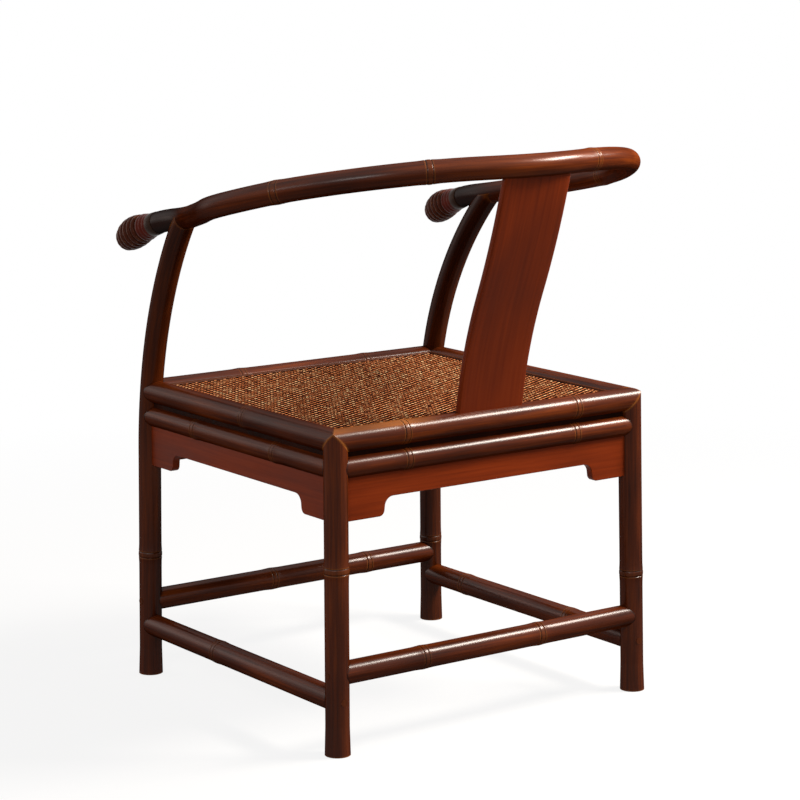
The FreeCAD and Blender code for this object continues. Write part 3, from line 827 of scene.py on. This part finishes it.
def makeSplat():
    s = splat
    lean = [radians(s["footLean"]), radians(s["headLean"])]
    footWay, headWay = [Vector((0, sin(a), cos(a))) for a in lean]
    backAxis = (legTop(left) + legTop(right)) * 0.5
    foot = backAxis + footWay * (poleRadius - s["tongue"])
    head = armPlace("back") - headWay * (chair["armRadius"] - s["tongue"])
    lower, upper = biarcPath(foot, footWay, head, headWay)
    path = lower + upper[1:]
    lengths = pathLengths(path)
    halfW, halfT, edge = s["width"] / 2, s["thickness"] / 2, s["edge"]
    section, arc = [], s["edgeSteps"] + 1
    for cornerX, cornerT, turn in ((1, 1, 0), (-1, 1, 90), (-1, -1, 180), (1, -1, 270)):
        for k in range(arc):
            a = radians(turn + 90 / s["edgeSteps"] * k)
            section.append(Vector((cornerX * (halfW - edge) + edge * cos(a),
                                   cornerT * (halfT - edge) + edge * sin(a))))
    # extra points across the two broad faces carry the tone of the lacquer
    full = []
    for i, point in enumerate(section):
        full.append(point)
        if i in (arc - 1, 3 * arc - 1):
            other = section[i + 1]
            full += [point.lerp(other, k / s["across"]) for k in range(1, s["across"])]
    rows = []
    for k in range(s["rings"] + 1):
        along = min(lengths[-1] * k / s["rings"], lengths[-1] - 1e-6)
        middle, way = pointAlong(path, lengths, along)
        normal = way.cross(Vector((1, 0, 0)))
        # the board darkens towards its foot across its width, most just off its middle
        low = bell(along / lengths[-1] - s["lowDarkHigh"], s["lowDarkReach"])
        for x, t in full:
            point = middle + Vector((x, 0, 0)) + normal * t
            near = s["lowDarkLeast"] + (1 - s["lowDarkLeast"]) * bell(x - s["lowDarkX"], s["lowDarkWidth"])
            rows.append((point, (x, along, t + s["grainShift"]), (s["lowDark"] * near * low, 0, 0)))
    piece = makeTube("backSplat", "board", rows, len(full))
    sharpFrom(piece, s["sharpFrom"])
    seat(piece, "lacquered_board", "back_splat")


makeSplat()

# aprons: boards with an ear at each leg, under the lower rails
apron = dict(thickness=0.012, height=0.0325, earDrop=0.0265, earLength=0.062, innerRound=0.014,
             earRound=0.009, earLean=0.003, tuck=0.003, sunk=0.006, edge=0.0008, edgeFrom=30)


def roundCorner(corners, i, steps=5):
    points = [Vector((x, 0, z)) for x, z, radius in corners]
    here, radius = points[i], corners[i][2]
    if radius == 0:
        return [here]
    before = (points[i - 1] - here).normalized()
    after = (points[(i + 1) % len(points)] - here).normalized()
    setback = radius / tan(before.angle(after) / 2)
    return arcPath(here + before * setback, -before, here + after * setback, radius / steps)


def makeApron(name, seed):
    s = apron
    top = chair["lowerRailZ"] - chair["lowerRailRadius"]
    first, last = spans[name]
    start, end = corner(*first, top - s["height"]), corner(*last, top - s["height"])
    half = (end - start).length / 2 - s["sunk"]
    ear = (end - start).length / 2 - poleRadius - s["earLength"]
    low = -s["height"] - s["earDrop"]
    corners = [(half, s["tuck"], 0), (half, low, 0), (ear + s["earLean"], low, s["earRound"]),
               (ear, -s["height"], s["innerRound"])]
    corners = [(-half, s["tuck"], 0), *corners, *[(-x, z, radius) for x, z, radius in corners[:0:-1]]]
    outline = [point for i in range(len(corners)) for point in roundCorner(corners, i)]
    middle = (start + end) * 0.5
    middle.z = top
    along = end - start
    along.z = 0
    along.normalize()
    out = Vector((along.y, -along.x, 0))
    rows = []
    for depth in (-s["thickness"] / 2, s["thickness"] / 2):
        for point in outline:
            vert = middle + along * point.x + Vector((0, 0, point.z)) + out * depth
            rows.append((vert, (point.z + seed, point.x, depth), (0, 0, 0)))
    n = len(outline)
    faces = [tuple(range(n)), tuple(range(n, 2 * n))[::-1]]
    faces += [(i, i + n, (i + 1) % n + n, (i + 1) % n) for i in range(n)]
    piece = makePiece("apron" + name.title(), "board", rows, faces)
    faceOut(piece)
    softEdges(piece, s["edge"], s["edgeFrom"])
    seat(piece, "lacquered_board", "apron_" + name)


for seed, name in enumerate(spans):
    makeApron(name, seed)
print("splat and aprons made")

# finials: a turned knob and a winding of stranded cane, drawn along the knob's own axis
finial = dict(
    collarLength=0.015, collarRadius=0.0174, bandLength=0.020, bandRadius=0.0202, bead=0.001,
    collar=((0.00972, 0.0002, 0), (0.0162, 0.0002, 0), (0.0168, 0.0012, 0), (0.0174, 0.013, 0),
            (0.0169, 0.015, 0.5), (0.017, 0.016, 1)), bandIn=0.0004,
    bandSteps=24, beads=3, beadRise=0.0005,
    underGap=0.0004, underLoops=1.15, underFrom=0.85, underFall=1.6, underSteps=6,
    coreShare=0.72, coreSteps=8, noseRadius=0.0005, noseLength=0.003, knobAround=48,
    grainShift=0.2, sharpFrom=40,
    caneRadius=0.0039, caneGap=0.00015, pitch=0.0086, loops=6, windingRadius=0.0202,
    crown=0.02487, backHalf=0.04211, frontHalf=0.03411,
    caneWide=0.00425, squareness=2.5, strands=5, strandDepth=0.06, lay=0.034,
    startTurn=pi, tipLoops=1.5, tipRise=0.0033, sideFrom=0.75, sideShade=0.6,
    around=20, step=0.0016, droop=0.0065, droopFrom=0.016, droopOver=0.078,
)
finial["start"] = finial["collarLength"] + finial["bandLength"] + finial["caneRadius"] + finial["caneGap"]


def windingRadius(z):
    past = z - finial["start"] - finial["crown"]
    half = finial["frontHalf"] if past > 0 else finial["backHalf"]
    return finial["windingRadius"] * sqrt(max(0.0, 1 - (past / half) ** 2))


def windingSlope(z):
    return (windingRadius(z + 1e-5) - windingRadius(z - 1e-5)) / 2e-5


def windingPath(stepsPerLoop=96):
    s = finial
    path, z = [], s["start"]
    for i in range(s["loops"] * stepsPerLoop + 1):
        turn = s["startTurn"] + 2 * pi * i / stepsPerLoop
        path.append(Vector((windingRadius(z) * cos(turn), windingRadius(z) * sin(turn), z)))
        z += s["pitch"] / stepsPerLoop / hypot(1, windingSlope(z))
    # the last loops close over the nose
    lastRadius, lastZ = windingRadius(z), z
    count = int(s["tipLoops"] * stepsPerLoop)
    for i in range(1, count + 1):
        turn = s["startTurn"] + 2 * pi * i / stepsPerLoop
        share = i / count
        radius = lastRadius * (1 - share) + s["caneRadius"] * share
        z = lastZ + s["tipRise"] * sin(share * pi / 2)
        path.append(Vector((radius * cos(turn), radius * sin(turn), z)))
    return path


def finialMatrix(side):
    neck = armPlace("neck", side)
    turn = Vector((0, 0, 1)).rotation_difference((armPlace("tip", side) - neck).normalized())
    return Matrix.Translation(neck) @ turn.to_matrix().to_4x4()


def finialPoint(place, local):
    # the tip hangs a little below the knob's own axis
    share = max(0.0, local.z - finial["droopFrom"]) / finial["droopOver"]
    return place @ local - Vector((0, 0, finial["droop"] * share ** 3))


def makeKnob(side, label):
    s = finial
    # rings of radius, place along the knob and zone: collar, band and core
    collar, collarEnd = s["collarRadius"], s["collarLength"]
    outline = list(s["collar"])
    # the band swells towards the winding in soft beads
    for k in range(1, s["bandSteps"] + 1):
        share = k / s["bandSteps"]
        swell = share * share * (3 - 2 * share)
        bead = s["beadRise"] * (0.5 - 0.5 * cos(2 * pi * s["beads"] * share))
        outline.append((collar + (s["bandRadius"] - collar) * swell - s["bandIn"] + bead,
                        collarEnd + s["bead"] + (s["bandLength"] - s["bead"]) * share, 1))
    # and runs on under the first loop
    for k in range(s["underSteps"] + 1):
        share = k / s["underSteps"]
        z = collarEnd + s["bandLength"] + s["underGap"] + s["underLoops"] * s["pitch"] * share
        under = s["caneRadius"] * (s["underFrom"] - s["underFall"] * share)
        outline.append((windingRadius(z) + under, z, 1 + 0.5 * share))
    core = outline[-1][1]
    last = s["start"] + s["crown"] + s["frontHalf"] * s["coreShare"]
    for k in range(1, s["coreSteps"] + 1):
        z = core + (last - core) * k / s["coreSteps"]
        outline.append((windingRadius(z) - s["caneRadius"], z, 2))
    outline.append((s["noseRadius"], last + s["noseLength"], 2))
    place = finialMatrix(side)
    shift = Vector((side * s["grainShift"], 0, 0))
    rows = []
    for radius, z, zone in outline:
        for turn, c, d in circle(s["knobAround"]):
            local = Vector((radius * c, radius * d, z))
            rows.append((finialPoint(place, local), local + shift, (min(zone, 1), max(zone - 1, 0), 0)))
    piece = makeTube("finialKnob" + label, "knob", rows, s["knobAround"])
    sharpFrom(piece, s["sharpFrom"])
    seat(piece, "turned_finial", "finial_" + label.lower())


def makeWinding(side, label):
    s = finial
    path = windingPath()
    lengths = pathLengths(path)
    place = finialMatrix(side)
    rows = []
    radius, power = s["caneRadius"], s["squareness"]
    steps = int(lengths[-1] / s["step"])
    for k in range(steps + 1):
        along = min(lengths[-1] * k / steps, lengths[-1] - 1e-7)
        middle, way = pointAlong(path, lengths, along)
        out = Vector((middle.x, middle.y, -windingSlope(middle.z) * hypot(middle.x, middle.y)))
        out = (out - way * out.dot(way)).normalized()
        across = way.cross(out)
        for turn, c, d in circle(s["around"]):
            size = (abs(c) ** power + abs(d) ** power) ** (-1 / power)
            lobe = cos(s["strands"] * turn + 2 * pi * s["strands"] * along / s["lay"])
            size *= 1 - s["strandDepth"] * (0.5 - 0.5 * lobe)
            local = middle + out * (c * size * radius) + across * (d * size * s["caneWide"])
            # the strand's crest is worn lighter, partly painted glints, and its sides are painted darker, as
            # the shade between the loops
            proud = max(0.0, c) * (0.5 + 0.5 * lobe)
            tone = (proud ** 2, max(0.0, s["sideFrom"] - c) * s["sideShade"], 0)
            rows.append((finialPoint(place, local), (c * radius + side, d * radius, along), tone))
    piece = makeTube("caneWinding" + label, "cane", rows, s["around"])
    seat(piece, "wound_cane", "cane_wrap_" + label.lower())


for side, label in ((left, "Left"), (right, "Right")):
    makeKnob(side, label)
    makeWinding(side, label)
print("finials made")

# seat mat: close weft strips across the seat, over and under narrower warp strips, painted darker where they
# dive as painted shade, on a dark sheet of painted shade
weave = dict(
    pitch=(0.00435, 0.0082), width=(0.0038, 0.003), thick=0.0008, rise=0.0011, margin=0.0012,
    section=((-0.5, 0.0), (-0.2, 0.5), (0.2, 0.5), (0.5, 0.0)), samples=(6, 2),
    # the wefts are lighter than the warps, through tint and shade, partly a painted difference in sheen
    tint=(0.62, 0.2), tintVary=0.3, tintScale=(3.7, 9.1, 0.3),
    patchVary=0.7, patchScale=(50, 1.3, 5.0), grainShift=(0.013, 0.7),
    shade=((0.0, 1.0), (0.75, 1.0)), shadeFrom=0.84, shadeOver=0.36,
)


def makeMat():
    s = weave
    low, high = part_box("seat_mat")
    level = high.z - s["rise"] - s["thick"] / 2
    acrossShift, axisShift = s["grainShift"]
    rows, faces = [], []

    def strip(number, axis, fixed, start, end, count):
        # a closed, crowned strip that goes over one crossing strip and under the next
        byNumber, byAxis, shift = s["tintScale"]
        spot = Vector((number * byNumber, axis * byAxis, shift))
        tint = s["tint"][axis] + s["tintVary"] * noise.noise(spot)
        least, most = s["shade"][axis]
        width, samples = s["width"][axis], s["samples"][axis]
        base = len(rows)
        total = count * samples
        for k in range(total + 1):
            along = start + (end - start) * k / total
            lift = cos(pi * (k / samples - 0.5 + number + axis))
            spot = Vector([a * b for a, b in zip((along, number, axis), s["patchScale"])])
            patch = s["patchVary"] * noise.noise(spot)
            # painted shade: the strip darkens as it dives, and keeps its colour only on the crown of each
            # over-crossing
            shade = least + (most - least) * within((s["shadeFrom"] - lift) / s["shadeOver"])
            for across, crown in s["section"]:
                off = fixed + across * width
                z = level + lift * s["rise"] + crown * s["thick"]
                point = Vector((along, off, z) if axis == 0 else (off, along, z))
                place = (across * width + number * acrossShift, axis * axisShift, along)
                rows.append((point, place, (tint + patch, shade, 0)))
        for face in tubeFaces(len(s["section"]), total + 1):
            face = [base + i for i in face]
            # strips along y are wound the other way
            faces.append(face if axis == 0 else face[:1] + face[:0:-1])

    width, depth = high.x - low.x - 2 * s["margin"], high.y - low.y - 2 * s["margin"]
    warps, wefts = int(width / s["pitch"][1]), int(depth / s["pitch"][0])
    stepX, stepY = width / warps, depth / wefts
    x0, y0 = low.x + s["margin"], low.y + s["margin"]
    for k in range(wefts):
        strip(k, 0, y0 + (k + 0.5) * stepY, x0, x0 + width, warps)
    for k in range(warps):
        strip(k, 1, x0 + (k + 0.5) * stepX, y0, y0 + depth, wefts)
    piece = makePiece("seatMat", "mat", rows, faces)
    print("mat strips:", wefts + warps, "faces:", len(faces))
    seat(piece, "woven_mat", "seat_mat")


# thin dark sheet under the strips, painted as the shade in the holes, with a softened rim
shadeSheetShape = dict(inset=0.001, thick=0.0012, rise=0.0008, cuts=10, edge=0.0004)


def makeShadeSheet():
    s = shadeSheetShape
    low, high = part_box("seat_mat")
    size = Vector((high.x - low.x - s["inset"], high.y - low.y - s["inset"], s["thick"]))
    middle = Vector(((low.x + high.x) / 2, (low.y + high.y) / 2, low.z + s["rise"]))
    bm = bmesh.new()
    bmesh.ops.create_cube(bm, size=1.0)
    bmesh.ops.scale(bm, vec=size, verts=bm.verts)
    bmesh.ops.translate(bm, vec=middle, verts=bm.verts)
    bmesh.ops.subdivide_edges(bm, edges=bm.edges[:], cuts=s["cuts"], use_grid_fill=True)
    piece = fromBmesh("matShadeSheet", bm)
    piece.data.materials.append(finishes["shadeSheet"])
    softEdges(piece, s["edge"])
    seat(piece, "woven_mat")


makeMat()
makeShadeSheet()

# edging: half-round cane strips round the mat
edging = dict(width=0.0062, height=0.0026, fullness=0.8, around=8, step=0.006, tint=0.45,
              tintVary=0.3, tintScale=25, grainShift=(0.002, 0.3), sharpFrom=60)


def makeEdging(name):
    s = edging
    low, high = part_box("seat_edging_" + name)
    alongX = name in ("front", "back")
    inner = {"front": high.y, "back": low.y, "left": low.x, "right": high.x}[name]
    outward = {"front": -1, "back": 1, "left": 1, "right": -1}[name]
    start, end = (low.x, high.x) if alongX else (low.y, high.y)
    steps = int((end - start) / s["step"])
    shiftTurn, shiftSide = s["grainShift"]
    rows = []
    for k in range(steps + 1):
        along = start + (end - start) * k / steps
        tint = s["tint"] + s["tintVary"] * noise.noise(Vector((along * s["tintScale"], outward, 2.0)))
        for i in range(s["around"] + 1):
            turn = pi * i / s["around"]
            off = inner + outward * s["width"] * (0.5 - 0.5 * cos(turn))
            z = low.z + s["height"] * sin(turn) ** s["fullness"]
            point = Vector((along, off, z) if alongX else (off, along, z))
            rows.append((point, (turn * shiftTurn, outward * shiftSide + alongX, along), (tint, 0, 0)))
    piece = makeTube("edging" + name.title(), "edging", rows, s["around"] + 1)
    faceOut(piece)
    sharpFrom(piece, s["sharpFrom"])
    seat(piece, "cane_edging", "seat_edging_" + name)


for name in spans:
    makeEdging(name)
print("seat made")

# nodes that stay as they are get a finish of their own
plainNodes = {"deck": ("seat_deck", "seat_batten_left", "seat_batten_right"),
              "filler": tuple("rail_filler_" + name for name in spans),
              "joinery": ("stretcher_pegs", "rail_dowels", "corner_pins", "post_dowels")}
for finish, names in plainNodes.items():
    for name in names:
        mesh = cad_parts[name].data
        mesh.materials.clear()
        mesh.materials.append(finishes[finish])


def seenWhite(mat):
    # one for the rays that show the backdrop: to the camera, in gloss or through glass
    rays = addNode(mat, "ShaderNodeLightPath").outputs
    seen = maths(mat, "ADD", rays["Is Camera Ray"], rays["Is Transmission Ray"])
    return maths(mat, "ADD", seen, rays["Is Glossy Ray"], clamp=True)


# floor: near white where it is seen, with the chair's shadow, and grey where it lights the chair
floorLook = dict(size=60.0, drop=0.0004, bounce=0.2, pale=0.9, whiteShare=0.86, fade=(0.7, 2.2))


def makeFloor():
    s = floorLook
    bm = bmesh.new()
    bmesh.ops.create_grid(bm, x_segments=8, y_segments=8, size=s["size"] / 2)
    floor = fromBmesh("floor", bm)
    floor.location.z = -s["drop"]
    mat = bpy.data.materials.new("paleFloor")
    mat.use_nodes = True
    nodes = mat.node_tree.nodes
    nodes.remove(nodes["Principled BSDF"])
    seen = seenWhite(mat)
    matte = addNode(mat, "ShaderNodeBsdfDiffuse")
    join(mat, blendColour(mat, seen, [s["bounce"]] * 3 + [1], [s["pale"]] * 3 + [1]), matte.inputs["Color"])
    glow = addNode(mat, "ShaderNodeEmission", Strength=1.0)
    # away from the chair the floor fades to the white of the backdrop
    far = addNode(mat, "ShaderNodeVectorMath", operation="LENGTH")
    join(mat, addNode(mat, "ShaderNodeTexCoord").outputs["Object"], far.inputs[0])
    share = spread(mat, far.outputs["Value"], *s["fade"], s["whiteShare"], 1.0)
    mixed = addNode(mat, "ShaderNodeMixShader")
    white = maths(mat, "MULTIPLY", seen, share)
    feed(mat, mixed.inputs, (white, matte.outputs[0], glow.outputs[0]))
    join(mat, mixed.outputs[0], nodes["Material Output"].inputs["Surface"])
    floor.data.materials.append(mat)


makeFloor()

# studio: two soft boxes on the sitter's right, panels in front and on the sitter's left, and a low even sky
warm, rosy, pale = (1.0, 0.92, 0.82), (1.0, 0.79, 0.7), (1.0, 0.93, 0.9)
studio = {
    "sky": 0.22,
    "aim": (0.0, 0.05, 0.5),
    # each lamp's place, size, power and tint
    "lamps": {
        "backBox": ((-1.42, 0.94, 1.9), (0.8, 0.42), 88.0, warm),
        "endBox": ((-2.2, 0.5, 1.55), (0.45, 0.26), 18.0, warm),
        "frontPanel": ((1.2, -1.95, 0.72), (0.8, 0.7), 2.6, rosy),
        "frontGlow": ((1.25, -2.0, 0.85), (2.0, 1.8), 3.8, rosy),
        "frontHaze": ((1.3, -2.05, 1.05), (3.0, 2.8), 4.5, rosy),
        "sidePanel": ((3.1, 2.5, 2.45), (1.1, 0.5), 32.0, pale),
        "leftPanel": ((3.0, 0.7, 1.9), (0.9, 0.5), 7.0, pale),
    },
}


def makeStudio():
    # the sky is white where it is seen, and dimmer where it lights the chair
    s = studio
    world = bpy.data.worlds.new("studio")
    bpy.context.scene.world = world
    world.use_nodes = True
    sky = world.node_tree.nodes["Background"]
    sky.inputs["Color"].default_value = (1, 1, 1, 1)
    lit = addNode(world, "ShaderNodeLightPath").outputs["Is Diffuse Ray"]
    join(world, maths(world, "MULTIPLY_ADD", lit, s["sky"], seenWhite(world)), sky.inputs["Strength"])
    for name, (place, size, power, tint) in s["lamps"].items():
        light = bpy.data.lights.new(name, "AREA")
        light.shape = "RECTANGLE"
        light.size, light.size_y = size
        light.energy = power
        light.color = tint
        box = addObject(name, light)
        box.location = place
        box.rotation_mode = "QUATERNION"
        box.rotation_quaternion = (box.location - Vector(s["aim"])).to_track_quat("Z", "Y")
        box.visible_camera = False


makeStudio()

# camera: azimuth and elevation as the photograph was taken, from behind on the sitter's left
shot = dict(azimuth=144.504, elevation=10.456, roll=-0.375, place=(2.2710, 3.2188, 1.1572),
            lens=121.62, sensor=36.0, far=100.0)


def makeCamera():
    s = shot
    a, e, r = (radians(s[key]) for key in ("azimuth", "elevation", "roll"))
    behind = Vector((sin(a) * cos(e), -cos(a) * cos(e), sin(e)))
    aside = Vector((cos(a), sin(a), 0))
    up = behind.cross(aside)
    rolledSide = aside * cos(r) + up * sin(r)
    rolledUp = up * cos(r) - aside * sin(r)
    data = bpy.data.cameras.new("camera")
    data.lens = s["lens"]
    data.sensor_width = s["sensor"]
    data.clip_end = s["far"]
    camera = addObject("camera", data)
    turn = Matrix((rolledSide, rolledUp, behind)).transposed().to_4x4()
    camera.matrix_world = Matrix.Translation(Vector(s["place"]) + Vector((0, shiftY, 0))) @ turn
    bpy.context.scene.camera = camera


makeCamera()
bpy.context.scene.view_settings.view_transform = "Standard"
print("studio and camera made")
